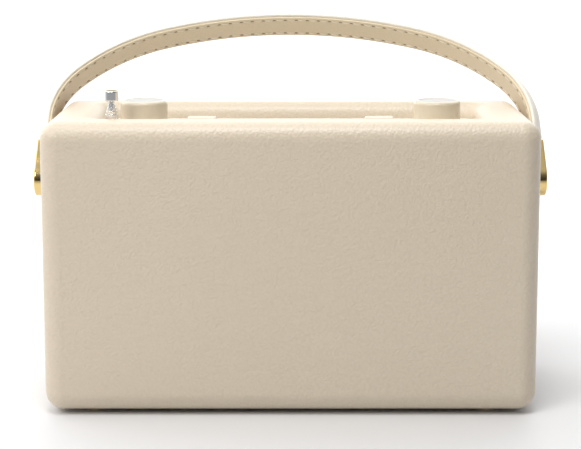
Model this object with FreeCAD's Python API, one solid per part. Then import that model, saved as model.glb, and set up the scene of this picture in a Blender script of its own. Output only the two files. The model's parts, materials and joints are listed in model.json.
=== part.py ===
import FreeCAD, Part
import math
import os

# Portable radio in a leather-covered wooden cabinet, with a padded leather carrying handle.
# Millimetres. +Z is up, the origin is on the table under the middle of the cabinet, +X runs along
# the cabinet's length and -Y is the plain rear face; the loudspeaker grille looks towards +Y.

os.makedirs("parts", exist_ok=True)

V = FreeCAD.Vector
AXES = {"x": V(1, 0, 0), "y": V(0, 1, 0), "z": V(0, 0, 1)}

# ---- cabinet -----------------------------------------------------------------------------------
body_width = 290.0        # along X
body_depth = 122.0        # along Y
body_height = 172.0       # without the feet
foot_height = 2.0
foot_radius = 4.75
foot_neck_radius = 2.5
foot_neck = 6.0           # how far the neck of a foot goes into the cabinet
edge_radius = 11.0        # every outer edge of the cabinet
leather = 1.2             # thickness of the leather skin
wall = 8.3                # thickness of the wooden walls
lip_radius = 3.0          # the leather's turn into the front opening
recess_lip = 9.0          # its softer turn into the recess in the top

body_base = foot_height
body_top = body_base + body_height
floor_z = body_base + leather + wall       # inner floor of the wooden box
roof_z = body_top - leather - wall         # inner side of its roof
inner_x = body_width / 2 - leather - wall  # half length of the space inside
inner_y = body_depth / 2 - leather - wall

# ---- control recess in the top -----------------------------------------------------------------
recess_side = 31.0                          # cabinet top left beyond each end of the recess
recess_edge = 26.0                          # cabinet top left in front of and behind it
recess_width = body_width - 2 * recess_side
recess_depth = body_depth - 2 * recess_edge
recess_corner = 8.0
panel_thickness = 2.5
panel_margin = 9.0                          # how far the panel reaches under the roof
panel_base = roof_z - panel_thickness

# ---- knobs, keys and the board under them ------------------------------------------------------
display_size = (72.0, 28.0)
lens = 1.5                                  # thickness of the display's window
knob_x = recess_width / 2 - 25.0
knob_radius = 14.25
knob_top = body_top + 6.0
knob_gap = 1.5                              # between the panel and the knob's skirt
knob_edge = 2.2                             # rounding of the knob's upper edge
knob_cap_radius = 11.6
knob_cap_seat = 0.8                         # depth of the seat for the cap
knob_cap_thickness = 0.6
shaft_radius = 3.0
running = 0.05                              # radial clearance of every turning fit
bush_radius = 4.5
nut_radius = 7.0                            # hexagon nut, across its corners
board = 1.6                                 # circuit boards
control_board_z = panel_base - 14.0         # underside of the control board
key_x = 52.5
key_size = (17.0, 12.0)
key_top = body_top - 1.0
key_travel = 1.5
key_clearance = 0.3
key_y = -(recess_depth / 2 - 3.0 - key_size[1] / 2)

# ---- telescopic antenna ------------------------------------------------------------------------
antenna_x = -(recess_width / 2 - 7.9)
antenna_y = -(recess_depth / 2 - 11.0)
antenna_radius = 3.9                        # outermost tube
antenna_step = 0.55                        # each tube is this much smaller in radius
antenna_stagger = 1.95                      # each closed tube stands this much above the next
antenna_tubes = 4                           # tubes, without the solid tip rod
antenna_mouth = body_top + 0.5              # top of the outermost tube
antenna_bottom = 34.0
antenna_foot = 2.0                          # the sliding tubes stop this far above the outermost one's foot
antenna_cap_radius = 4.3
antenna_cap_height = 6.2

# ---- carrying handle ---------------------------------------------------------------------------
pivot_drop = 42.8                           # pivot below the cabinet's top
pivot_z = body_top - pivot_drop
handle_lean = 45.5                          # degrees, from upright back towards +Y
strap_gap = 3.6                             # cabinet side to the strap's lining
liner_width = 17.0
liner_thickness = 1.5
strap_width = 19.6
strap_thickness = 8.2                       # lining and padding together
strap_side = 1.5                            # upright sides of the padding below its round top
top_arc_radius = 0.966 * body_width
top_arc_end = 0.292                         # radians from the apex
shoulder_radius = 0.42 * body_width
shoulder_end = 0.801
swing_clearance = 0.2                       # lining to cabinet edge as the handle swings
fitting_height = 25.0                       # brass fitting above the pivot
fitting_radius = 10.0
fitting_inner = body_width / 2 + 2.0
fitting_outer = body_width / 2 + 10.9
pin_radius = 4.0
tongue_width = 15.0                         # end of the strap inside the fitting
tongue_thickness = 4.0
tongue_length = 12.0
rivet_radius = 1.25
rivet_height = fitting_height - 6.0
rivet_head = 0.4                            # how far the rivet's round head stands out
pivot_screw_radius = 5.5
pivot_screw_head = 1.5
pivot_screw_recess = 1.8                    # depth of its seat in the fitting
pivot_screw_gap = 0.1                       # pin's end to the floor of that seat
pivot_nut_radius = 9.0
pivot_nut = 3.0
pivot_plate = 1.2

# ---- loudspeaker side --------------------------------------------------------------------------
grille_margin = 18.0                        # cabinet edge to the front opening
grille_width = body_width - 2 * grille_margin
grille_height = body_height - 2 * (grille_margin + 4.0)
grille_z = body_base + body_height / 2
grille_corner = 12.0
cloth = 0.6
mesh = 1.5
trim = 3.0
baffle = 6.0
speaker_radius = 44.0
speaker_x = grille_width / 4 + 3.0
speaker_z = grille_z + 8.0
speaker_depth = 40.0

# ---- battery bay in the floor ------------------------------------------------------------------
bay_length = 129.0
bay_clearance = 12.0                        # between the bay and the baffle, and the same at the rear
bay_width = 2 * (inner_y - baffle - bay_clearance)
bay_height = 39.0
bay_wall = 2.5
bay_corner = 0.5
case_flange = 2.5
door_gap = 0.3
door_thickness = 3.0
hinge_radius = 2.5
hinge_pin_radius = 1.5
hinge_y = -(bay_width / 2 - door_gap - hinge_radius)
hinge_z = body_base + hinge_radius

# ---- board inside the rear wall -----------------------------------------------------------------
rear_board_y = -inner_y + 6.0

# ---- sockets on the +X side --------------------------------------------------------------------
socket_z = 42.0
socket_spacing = 18.0
socket_plate_size = (44.0, 24.0, 2.0)
jack_radius = 1.8
jack_length = 14.0
inlet_radius = 2.75
jack_y = socket_spacing / 2
inlet_y = -socket_spacing / 2
plate_inner = body_width / 2 - socket_plate_size[2]


# ---- small screws used inside -------------------------------------------------------------------
screw_radius = 1.2
screw_length = 8.5                          # length of the common screw's thread
screw_head = 1.8
screw_head_radius = 2.4


# ---- small helpers -----------------------------------------------------------------------------
def block(x, y, z):
    """A box from three (low, high) pairs."""
    return Part.makeBox(x[1] - x[0], y[1] - y[0], z[1] - z[0], V(x[0], y[0], z[0]))


def span(centre, size):
    """The (low, high) pair of a length centred on a value."""
    return (centre - size / 2, centre + size / 2)


def place(axis, along, across):
    """A point from its coordinate along one axis and its two other coordinates in X, Y, Z order."""
    values = list(across)
    values.insert("xyz".index(axis), along)
    return V(*values)


def rod(axis, radius, low, high, across=(0, 0)):
    """A cylinder parallel to an axis."""
    return Part.makeCylinder(radius, high - low, place(axis, low, across), AXES[axis])


def ring(axis, outer, inner, low, high, across=(0, 0)):
    return rod(axis, outer, low, high, across).cut(rod(axis, inner, low, high, across))


def edges_along(shape, axis):
    """The straight edges parallel to an axis."""
    found = []
    for edge in shape.Edges:
        run = edge.Vertexes[-1].Point.sub(edge.Vertexes[0].Point)
        if abs(run.dot(AXES[axis])) > 0.999 * run.Length > 0:
            found.append(edge)
    return found


def plate(axis, size, low, high, corner, across=(0, 0)):
    """A slab across an axis, size[0] by size[1], with its four corners rounded."""
    ranges = [span(across[0], size[0]), span(across[1], size[1])]
    ranges.insert("xyz".index(axis), (low, high))
    slab = block(*ranges)
    return slab.makeFillet(corner, edges_along(slab, axis))


def hexagon(radius, low, high, across):
    """A hexagonal nut blank standing along Z."""
    points = []
    for corner in range(7):
        angle = math.radians(60 * corner)
        corner_x = across[0] + radius * math.cos(angle)
        corner_y = across[1] + radius * math.sin(angle)
        points.append(V(corner_x, corner_y, low))
    return Part.Face(Part.makePolygon(points)).extrude(V(0, 0, high - low))


def join(*shapes):
    return shapes[0].fuse(list(shapes[1:])).removeSplitter()


def cut_all(shape, tools):
    return shape.cut(list(tools)) if tools else shape


def mirrored(shape):
    """The same piece on the -X side."""
    return shape.mirror(V(0, 0, 0), AXES["x"])


def save(node, shapes):
    """Write one node: a single solid, or a group of solids of the same kind."""
    solids = [solid for shape in shapes for solid in shape.Solids]
    shape = solids[0] if len(solids) == 1 else Part.makeCompound(solids)
    shape.exportStep("parts/" + node + ".step")
    print(node, len(solids), "solid(s)", round(shape.Volume / 1000, 2), "cm3")


# ---- places shared by several pieces -----------------------------------------------------------
foot_x = body_width / 2 - 29.0
foot_y = body_depth / 2 - 16.0
FOOT_PLACES = [(sx * foot_x, sy * foot_y) for sx in (-1, 1) for sy in (-1, 1)]
PANEL_SCREWS = [(sx * (recess_width / 2 + 5.0), 0.0) for sx in (-1, 1)]
PANEL_SCREWS += [(sx * 60.0, sy * (recess_depth / 2 + 5.0)) for sx in (-1, 1) for sy in (-1, 1)]
BOARD_POSTS = [(sx * 72.0, sy * 30.0) for sx in (-1, 1) for sy in (-1, 1)]
CASE_SCREWS = [(sx * (bay_length / 2 + 7.5), sy * 24.0) for sx in (-1, 1) for sy in (-1, 1)]
REAR_POSTS = [(sx * 62.0, z) for sx in (-1, 1) for z in (68.0, 132.0)]
SPEAKER_SCREW_ANGLES = [45, 135, 225, 315]


def rim_edges(shape, axis, level, size, across):
    """The edges that bound an opening of a given size in the flat face at one level of an axis."""
    names = ["X", "Y", "Z"]
    main = names.pop("xyz".index(axis))
    found = []
    for edge in shape.Edges:
        bounds = edge.BoundBox
        ends = [getattr(bounds, main + end) for end in ("Min", "Max")]
        flat = all(abs(end - level) < 0.01 for end in ends)
        inside = all(
            abs(getattr(bounds, name + end) - across[i]) < size[i] / 2 + 0.1
            for i, name in enumerate(names)
            for end in ("Min", "Max")
        )
        if flat and inside:
            found.append(edge)
    return found


# ---- cabinet and skin --------------------------------------------------------------------------
def cabinet_block(inset):
    """The cabinet's outer form, shrunk by inset, with the recess and the front opening let in."""
    form = block(
        span(0, body_width - 2 * inset),
        span(0, body_depth - 2 * inset),
        (body_base + inset, body_top - inset),
    )
    form = form.makeFillet(edge_radius - inset, form.Edges)
    top = (recess_width + 2 * inset, recess_depth + 2 * inset)
    front = (grille_width + 2 * inset, grille_height + 2 * inset)
    form = form.cut(plate("z", top, roof_z, body_top + 1, recess_corner + inset))
    form = form.cut(plate("y", front, inner_y, body_depth / 2 + 1, grille_corner + inset, (0, grille_z)))
    form = form.makeFillet(recess_lip - inset, rim_edges(form, "z", body_top - inset, top, (0, 0)))
    rims = rim_edges(form, "y", body_depth / 2 - inset, front, (0, grille_z))
    return form.makeFillet(lip_radius - inset, rims)


def wall_openings():
    """Everything that passes through both the leather and the wood."""
    case = (bay_length + 2 * bay_wall, bay_width + 2 * bay_wall)
    pocket = (socket_plate_size[0] + 0.4, socket_plate_size[1] + 0.4)
    through = (socket_plate_size[0] - 8.0, socket_plate_size[1] - 8.0)
    side = body_width / 2
    tools = [
        plate("z", case, body_base - 1, floor_z + 1, 4.0),
        plate("x", pocket, side - socket_plate_size[2], side + 1, 3.0, (0, socket_z)),
        plate("x", through, inner_x - 1, side, 2.0, (0, socket_z)),
    ]
    for low, high in ((inner_x - 1, side + 1), (-side - 1, 1 - inner_x)):
        tools.append(rod("x", pin_radius, low, high, (0, pivot_z)))
    for x, y in FOOT_PLACES:
        tools.append(rod("z", foot_neck_radius, body_base - 1, body_base + foot_neck, (x, y)))
    return tools


def cabinet_shell():
    inside = block(span(0, 2 * inner_x), span(0, 2 * inner_y), (floor_z, roof_z))
    inside = inside.makeFillet(2.0, edges_along(inside, "z"))
    shell = cabinet_block(leather).cut(inside)
    tools = wall_openings()
    for x, y in PANEL_SCREWS:
        tools.append(rod("z", screw_radius, roof_z - 1, panel_base + screw_length, (x, y)))
    for x, y in CASE_SCREWS:
        tools.append(rod("z", screw_radius, floor_z + case_flange - screw_length, floor_z + 1, (x, y)))
    for x, z in REAR_POSTS:
        tools.append(rod("y", screw_radius, -inner_y - 6.0, 1 - inner_y, (x, z)))
    return cut_all(shell, tools)


def leather_cover():
    skin = cabinet_block(0).cut(cabinet_block(leather))
    return cut_all(skin, wall_openings())


# ---- loudspeaker side --------------------------------------------------------------------------
def grille_plate(shrink, low, high):
    size = (grille_width - 2 * shrink, grille_height - 2 * shrink)
    return plate("y", size, low, high, grille_corner - shrink, (0, grille_z))


def front_baffle():
    back = inner_y - baffle
    size = (2 * inner_x - 6.0, roof_z - floor_z - 11.0)
    board_z = (floor_z + roof_z) / 2 - 1.0
    panel = plate("y", size, back, inner_y, 3.0, (0, board_z))
    tools = []
    for x in (-speaker_x, speaker_x):
        tools.append(rod("y", speaker_radius - 8.0, back - 1, inner_y + 1, (x, speaker_z)))
        for angle in SPEAKER_SCREW_ANGLES:
            tools.append(rod("y", screw_radius, back - 1, back + 4.0, speaker_screw(x, angle)))
    return cut_all(panel, tools)


def speaker_grille():
    """A flat metal grille: four columns of level slots."""
    low = inner_y + cloth
    sheet = grille_plate(0.3, low, low + mesh)
    columns = 4
    slot = 3.0
    border = 9.0
    bar = 5.0
    length = (grille_width - 2 * border - (columns - 1) * bar) / columns
    rows = int((grille_height - 2 * border) / (2 * slot))
    slots = []
    for column in range(columns):
        x = (column - (columns - 1) / 2) * (length + bar)
        for row in range(rows):
            z = grille_z + (row - (rows - 1) / 2) * 2 * slot
            slots.append(block(span(x, length), (low - 1, low + mesh + 1), span(z, slot)))
    return cut_all(sheet, slots)


def grille_trim():
    low = inner_y + cloth + mesh
    return grille_plate(0.3, low, low + trim).cut(grille_plate(4.0, low, low + trim))


def speaker_screw(x, angle):
    reach = speaker_radius - 3.2
    turn = math.radians(angle)
    return (x + reach * math.cos(turn), speaker_z + reach * math.sin(turn))


def turned(profile, x):
    """A piece turned about a loudspeaker's axis from (radius, distance behind the baffle) points."""
    back = inner_y - baffle
    points = [V(x + radius, back - behind, speaker_z) for radius, behind in profile]
    face = Part.Face(Part.makePolygon(points + points[:1]))
    return face.revolve(V(x, 0, speaker_z), AXES["y"], 360)


def speaker_frame(x):
    """Pressed steel basket: mounting rim, sloping side with four windows, back plate."""
    rim = speaker_radius
    throat = speaker_radius / 2
    seat = 0.55 * speaker_depth
    steel = 1.2
    profile = [(rim, 0), (rim, steel), (rim - 8, steel), (throat, seat + steel), (8, seat + steel)]
    profile += [(8, seat), (throat, seat), (rim - 9, 0)]
    basket = turned(profile, x)
    back = inner_y - baffle
    tools = []
    for turn in range(4):
        window = block(span(x, 14), (back - seat + 3, back - 4), (speaker_z, speaker_z + rim))
        window.rotate(V(x, 0, speaker_z), AXES["y"], 90 * turn)
        tools.append(window)
    for angle in SPEAKER_SCREW_ANGLES:
        tools.append(rod("y", screw_radius + 0.2, back - 3, back + 1, speaker_screw(x, angle)))
    return cut_all(basket, tools)


def speaker_cone(x):
    """Paper cone with a half-round surround and a dust cap, glued into the basket's rim."""
    rim = speaker_radius - 9.6
    profile = [(rim, 0), (rim, 0.5), (rim - 3, 1.6), (10, 0.44 * speaker_depth), (0, 0.38 * speaker_depth)]
    profile += [(0, 0.36 * speaker_depth), (9.5, 0.42 * speaker_depth), (rim - 3.6, 1.0), (rim - 3, -0.4)]
    return turned(profile, x)


def speaker_magnet(x):
    seat = 0.55 * speaker_depth + 1.2
    radius = speaker_radius / 2
    profile = [(0, seat), (radius - 2, seat), (radius, seat + 2), (radius, speaker_depth - 2)]
    profile += [(radius - 2, speaker_depth), (0, speaker_depth)]
    return turned(profile, x)


def speaker_screws():
    back = inner_y - baffle
    screws = []
    for x in (-speaker_x, speaker_x):
        for angle in SPEAKER_SCREW_ANGLES:
            centre = speaker_screw(x, angle)
            head = rod("y", 2.4, back - 3.2, back - 1.2, centre)
            screws.append(join(head, rod("y", screw_radius, back - 1.2, back + 4.0, centre)))
    return screws


# ---- control panel -----------------------------------------------------------------------------
def top_panel():
    """Plate under the roof that forms the floor of the recess, with posts for the control board."""
    size = (recess_width + 2 * panel_margin, recess_depth + 2 * panel_margin)
    panel = plate("z", size, panel_base, roof_z, recess_corner + panel_margin)
    posts = [rod("z", 3.0, control_board_z + board, panel_base, place_xy) for place_xy in BOARD_POSTS]
    panel = join(panel, *posts)
    low, high = panel_base - 1, roof_z + 1
    tools = [plate("z", display_size, roof_z - lens, high, 2.0)]
    tools.append(plate("z", (display_size[0] - 4, display_size[1] - 4), low, high, 2.0))
    window = (key_size[0] + 2 * key_clearance, key_size[1] + 2 * key_clearance)
    for side in (-1, 1):
        tools.append(rod("z", bush_radius, low, high, (side * knob_x, 0)))
        tools.append(plate("z", window, low, high, 1.5, (side * key_x, key_y)))
    tools.append(rod("z", antenna_radius + 1.5, low, high, (antenna_x, antenna_y)))
    for centre in PANEL_SCREWS:
        tools.append(rod("z", screw_radius, low, high, centre))
    for centre in BOARD_POSTS:
        tools.append(rod("z", screw_radius, control_board_z, control_board_z + screw_length, centre))
    return cut_all(panel, tools)


def display_lens():
    size = (display_size[0] - 0.2, display_size[1] - 0.2)
    return plate("z", size, roof_z - lens, roof_z, 1.9)


def display_module():
    return plate("z", (display_size[0] + 4, display_size[1] + 4), panel_base - 5.0, panel_base, 1.0)


def control_board():
    size = (2 * (knob_x + 11.0), 2 * 35.0)
    low = control_board_z
    slab = plate("z", size, low, low + board, 3.0)
    tools = [rod("z", screw_radius + 0.1, low - 1, low + board + 1, centre) for centre in BOARD_POSTS]
    return cut_all(slab, tools)


def control_body(x, square):
    """A control with its threaded bush through the panel: round for volume, square for tuning."""
    low = control_board_z + board
    high = panel_base
    if square:
        case = block(span(x, 15.0), span(0, 15.0), (low, high))
    else:
        case = rod("z", 8.5, low, high, (x, 0))
    case = join(case, rod("z", bush_radius, high, roof_z + 4.0, (x, 0)))
    return case.cut(rod("z", shaft_radius + running, low + 2.0, roof_z + 5.0, (x, 0)))


def control_nuts():
    nuts = []
    for x in (-knob_x, knob_x):
        nut = hexagon(nut_radius, roof_z, roof_z + 2.5, (x, 0))
        nuts.append(nut.cut(rod("z", bush_radius, roof_z - 1, roof_z + 4, (x, 0))))
    return nuts


def control_shaft(x):
    """Shaft with a flat that the knob grips."""
    low = control_board_z + board + 2.1
    high = knob_top - 3.0
    shaft = rod("z", shaft_radius, low, high, (x, 0))
    flat = block((x + 1.5, x + shaft_radius), span(0, 2 * shaft_radius), (roof_z + 5.0, high))
    return shaft.cut(flat)


def knob(x):
    """Turned knob, hollow below for the nut, with a shallow seat in its top for the cap."""
    low = roof_z + knob_gap
    blank = rod("z", knob_radius, low, knob_top, (x, 0))
    top_edges = [edge for edge in blank.Edges if edge.BoundBox.ZMin > knob_top - 0.01]
    blank = blank.makeFillet(knob_edge, top_edges)
    seat = rod("z", knob_cap_radius, knob_top - knob_cap_seat, knob_top + 1, (x, 0))
    hollow = rod("z", nut_radius + 2.5, low - 1, roof_z + 5.0, (x, 0))
    return cut_all(blank, [seat, hollow, control_shaft(x)])


def knob_cap(x):
    low = knob_top - knob_cap_seat
    return rod("z", knob_cap_radius, low, low + knob_cap_thickness, (x, 0))


def key(x):
    """Push key: rounded cap, a flange that stops it under the panel and a plunger to its switch."""
    flange = panel_base - 0.2
    cap = plate("z", key_size, flange - 1.5, key_top, 1.4, (x, key_y))
    top_edges = [edge for edge in cap.Edges if edge.BoundBox.ZMin > key_top - 0.01]
    cap = cap.makeFillet(1.0, top_edges)
    collar_size = (key_size[0] + 3.0, key_size[1] + 3.0)
    collar = plate("z", collar_size, flange - 1.5, flange, 1.5, (x, key_y))
    plunger = rod("z", 2.0, switch_top() + key_travel + 0.1, flange - 1.5, (x, key_y))
    return join(cap, collar, plunger)


def switch_top():
    return control_board_z + board + 5.0


def key_switches():
    low = control_board_z + board
    return [block(span(side * key_x, 12.0), span(key_y, 12.0), (low, switch_top())) for side in (-1, 1)]


def common_screws(places, seat_z, direction):
    """The common screw: its head sits on seat_z and its thread runs up (1) or down (-1)."""
    screws = []
    for centre in places:
        head = rod("z", screw_head_radius, *sorted((seat_z - direction * screw_head, seat_z)), centre)
        thread = rod("z", screw_radius, *sorted((seat_z, seat_z + direction * screw_length)), centre)
        screws.append(join(head, thread))
    return screws


# ---- antenna -----------------------------------------------------------------------------------
def antenna_socket():
    """Collar in the panel that guides the outermost tube."""
    centre = (antenna_x, antenna_y)
    collar = join(
        rod("z", antenna_radius + 1.5, panel_base - 4.0, roof_z, centre),
        rod("z", antenna_radius + 2.5, roof_z, roof_z + 1.5, centre),
    )
    return collar.cut(rod("z", antenna_radius + running, panel_base - 5.0, roof_z + 2.0, centre))


def antenna_post():
    """Post on the cabinet floor with a blind hole that carries the antenna's foot."""
    centre = (antenna_x, antenna_y)
    post = join(
        rod("z", 9.0, floor_z, floor_z + 3.0, centre),
        rod("z", 5.5, floor_z, antenna_bottom + 8.0, centre),
    )
    return post.cut(rod("z", antenna_radius + running, antenna_bottom - 0.1, antenna_bottom + 9.0, centre))


def antenna_tube(index):
    """Tube number index, counted inwards from 0, in the closed position."""
    centre = (antenna_x, antenna_y)
    radius = antenna_radius - index * antenna_step
    outermost = index == 0
    low = antenna_bottom if outermost else antenna_bottom + antenna_foot
    high = antenna_mouth + index * antenna_stagger
    bore_low = low + 1.5 if outermost else low - 1      # the outermost tube is closed at its foot
    tube = rod("z", radius, low, high, centre)
    tube = tube.makeFillet(0.2, [edge for edge in tube.Edges if edge.BoundBox.ZMin > high - 0.01])
    return tube.cut(rod("z", radius - antenna_step + running, bore_low, high + 1, centre))


def antenna_rod():
    centre = (antenna_x, antenna_y)
    radius = antenna_radius - antenna_tubes * antenna_step
    high = antenna_mouth + antenna_tubes * antenna_stagger
    return rod("z", radius, antenna_bottom + antenna_foot, high + 3.0, centre)


def antenna_cap():
    centre = (antenna_x, antenna_y)
    low = antenna_mouth + antenna_tubes * antenna_stagger
    cap = rod("z", antenna_cap_radius, low, low + antenna_cap_height, centre)
    cap = cap.makeFillet(0.8, [edge for edge in cap.Edges if edge.BoundBox.ZLength < 0.01])
    return cap.cut(antenna_rod())


# ---- handle ------------------------------------------------------------------------------------
strap_x = body_width / 2 + strap_gap
tongue_x = strap_x + liner_thickness
corner_arc_radius = (
    strap_x
    - top_arc_radius * math.sin(top_arc_end)
    - shoulder_radius * (math.sin(shoulder_end) - math.sin(top_arc_end))
) / (1 - math.sin(shoulder_end))


def strap_arcs():
    """(radius, start angle, end angle) of the three arcs from the apex to the upright leg."""
    return [
        (top_arc_radius, 0.0, top_arc_end),
        (shoulder_radius, top_arc_end, shoulder_end),
        (corner_arc_radius, shoulder_end, math.pi / 2),
    ]


def strap_drop(x):
    """How far the strap's lining has dropped below its apex at a distance x from the middle."""
    reached = 0.0
    drop = 0.0
    for radius, start, end in strap_arcs():
        width = radius * (math.sin(end) - math.sin(start))
        if x <= reached + width:
            angle = math.asin(min(1.0, math.sin(start) + (x - reached) / radius))
            return drop + radius * (math.cos(start) - math.cos(angle))
        reached += width
        drop += radius * (math.cos(start) - math.cos(end))
    return drop


def cabinet_sweep(x):
    """Greatest distance of the cabinet's top edge from the pivot axis, in the slice at x."""
    inside = max(0.0, x - (body_width / 2 - edge_radius))
    bulge = math.sqrt(max(0.0, edge_radius ** 2 - inside ** 2))
    return math.hypot(body_depth / 2 - edge_radius, pivot_drop - edge_radius) + bulge


# the apex is as high as the tightest slice between the cabinet's shoulder and its side asks for
slices = [body_width / 2 - edge_radius * step / 10 for step in range(0, 21)]
strap_apex = max(cabinet_sweep(x) + strap_drop(x) for x in slices) + swing_clearance
leg_top = strap_apex - strap_drop(strap_x)


def strap_section(kind):
    """Cross-section at the pivot plane: the lining's inner face is on x = 0 and the outside at +x."""
    if kind == "liner":
        half = liner_width / 2
        points = [V(0, -half, 0), V(liner_thickness, -half, 0), V(liner_thickness, half, 0), V(0, half, 0)]
        return Part.Face(Part.makePolygon(points + points[:1]))
    half = strap_width / 2
    shoulder = liner_thickness + strap_side
    near_side = Part.makeLine(V(liner_thickness, -half, 0), V(shoulder, -half, 0))
    dome = Part.Arc(V(shoulder, -half, 0), V(strap_thickness, 0, 0), V(shoulder, half, 0)).toShape()
    far_side = Part.makeLine(V(shoulder, half, 0), V(liner_thickness, half, 0))
    under = Part.makeLine(V(liner_thickness, half, 0), V(liner_thickness, -half, 0))
    return Part.Face(Part.Wire([near_side, dome, far_side, under]))


def strap_body(kind):
    """One half of the bow swept leg, corner, shoulder and top arc, then mirrored; the pivot is at z = 0."""
    section = strap_section(kind)
    leg = section.copy()
    leg.translate(V(strap_x, 0, fitting_height))
    pieces = [leg.extrude(V(0, 0, leg_top - fitting_height))]
    point = V(0, 0, strap_apex)
    for radius, start, end in strap_arcs():
        centre = point.sub(V(radius * math.sin(start), 0, radius * math.cos(start)))
        face = section.copy()
        face.translate(centre.add(V(radius, 0, 0)))
        face.rotate(centre, AXES["y"], math.degrees(end) - 90)
        pieces.append(face.revolve(centre, AXES["y"], math.degrees(start - end)))
        point = centre.add(V(radius * math.sin(end), 0, radius * math.cos(end)))
    half = join(*pieces)
    return join(half, mirrored(half))


def leaned(shape):
    """Move a handle piece from its drawing position, pivot at the origin, to its place on the cabinet."""
    shape = shape.copy()
    shape.rotate(V(0, 0, 0), AXES["x"], -handle_lean)
    shape.translate(V(0, 0, pivot_z))
    return shape


def handle_strap():
    """Padded leather bow with a thin tongue at each end that goes into the brass fitting."""
    tongue = block(
        (tongue_x, tongue_x + tongue_thickness),
        span(0, tongue_width),
        (fitting_height - tongue_length, fitting_height),
    )
    strap = join(strap_body("padding"), tongue, mirrored(tongue))
    rivets = rod("x", rivet_radius, -fitting_outer, fitting_outer, (0, rivet_height))
    return leaned(strap.cut(rivets))


def handle_liner():
    return leaned(strap_body("liner"))


def handle_fitting():
    """Brass fitting on the +X side: round about the pivot, with a pocket for the strap's tongue."""
    body = join(
        rod("x", fitting_radius, fitting_inner, fitting_outer),
        block((fitting_inner, fitting_outer), span(0, 2 * fitting_radius), (0, fitting_height)),
    )
    corners = [edge for edge in edges_along(body, "x") if edge.BoundBox.ZMin > fitting_height - 0.01]
    body = body.makeFillet(2.5, corners)
    outline = [edge for edge in body.Edges if edge.BoundBox.XMin > fitting_outer - 0.01]
    body = body.makeFillet(1.2, outline)
    tools = [
        rod("x", pin_radius + running, fitting_inner - 1, fitting_outer + 1),
        rod("x", pivot_screw_radius + 0.4, fitting_outer - pivot_screw_recess, fitting_outer + 1),
        rod("x", rivet_radius, fitting_inner - 1, fitting_outer + 1, (0, rivet_height)),
        block(
            (tongue_x, tongue_x + tongue_thickness),
            span(0, tongue_width),
            (fitting_height - tongue_length, fitting_height + 1),
        ),
    ]
    return cut_all(body, tools)


def handle_rivet():
    rivet = rod("x", rivet_radius, fitting_inner, fitting_outer + rivet_head, (0, rivet_height))
    head = [edge for edge in rivet.Edges if edge.BoundBox.XMin > fitting_outer]
    return rivet.makeFillet(rivet_head, head)


def pivot_disc():
    """Round plate screwed flat against the cabinet's side behind the fitting."""
    side = body_width / 2
    disc = rod("x", fitting_radius - 0.5, side, side + pivot_plate, (0, pivot_z))
    outer = [edge for edge in disc.Edges if edge.BoundBox.XMin > side + pivot_plate / 2]
    disc = disc.makeFillet(0.5, outer)
    return disc.cut(rod("x", pin_radius, side - 1, side + 2, (0, pivot_z)))


def pivot_pin():
    """Pin through the wooden side, with a nut plate inside the cabinet."""
    inside = rod("x", pivot_nut_radius, inner_x - pivot_nut, inner_x, (0, pivot_z))
    end = fitting_outer - pivot_screw_recess + pivot_screw_gap
    pin = join(inside, rod("x", pin_radius, inner_x, end, (0, pivot_z)))
    return pin.cut(rod("x", screw_radius, fitting_outer - 14.0, fitting_outer, (0, pivot_z)))


def pivot_screw():
    """Retaining screw in the end of the pin, with a slot for a coin."""
    seat = fitting_outer - pivot_screw_recess + pivot_screw_gap
    head = rod("x", pivot_screw_radius, seat, seat + pivot_screw_head, (0, pivot_z))
    middle = seat + pivot_screw_head / 2
    head = head.makeFillet(0.6, [edge for edge in head.Edges if edge.BoundBox.XMin > middle])
    screw = join(head, rod("x", screw_radius, fitting_outer - 14.0, seat, (0, pivot_z)))
    slot = block((middle, seat + 2), span(0, 2 * pivot_screw_radius), span(pivot_z, 1.0))
    return screw.cut(slot)


# ---- feet and battery bay ----------------------------------------------------------------------
def feet():
    """Rubber buttons, each with a neck pressed through the leather into the wood."""
    pieces = []
    for centre in FOOT_PLACES:
        pad = rod("z", foot_radius, 0, foot_height, centre)
        pieces.append(join(pad, rod("z", foot_neck_radius, foot_height, body_base + foot_neck, centre)))
    return pieces


def battery_case():
    """Moulded box let into the cabinet floor, open downwards, with a flange that rests on the wood."""
    outer = (bay_length + 2 * bay_wall, bay_width + 2 * bay_wall)
    top = body_base + bay_height
    case = join(
        plate("z", outer, body_base, top + bay_wall, 4.0),
        plate("z", (outer[0] + 20.0, outer[1] + 4.0), floor_z, floor_z + case_flange, 4.0),
    )
    tools = [plate("z", (bay_length, bay_width), body_base - 1, top, bay_corner)]
    for side in (-1, 1):
        low, high = span(side * (bay_length / 2 + 1.1), 2.3)
        tools.append(rod("x", hinge_pin_radius + running, low, high, (hinge_y, hinge_z)))
    for centre in CASE_SCREWS:
        tools.append(rod("z", screw_radius, floor_z - 1, floor_z + 3.5, centre))
    return cut_all(case, tools)


def battery_door():
    """Flush door with a round hinged edge, two stub pins and a shallow thumb groove."""
    half_x = bay_length / 2 - door_gap
    free_y = bay_width / 2 - door_gap
    door = join(
        block((-half_x, half_x), (hinge_y, free_y), (body_base, body_base + door_thickness)),
        rod("x", hinge_radius, -half_x, half_x, (hinge_y, hinge_z)),
        rod("x", hinge_pin_radius, -half_x - 2.0, half_x + 2.0, (hinge_y, hinge_z)),
    )
    groove = plate("z", (24.0, 7.0), body_base - 1, body_base + 1.2, 3.0, (0, free_y - 8.0))
    return door.cut(groove)


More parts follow.
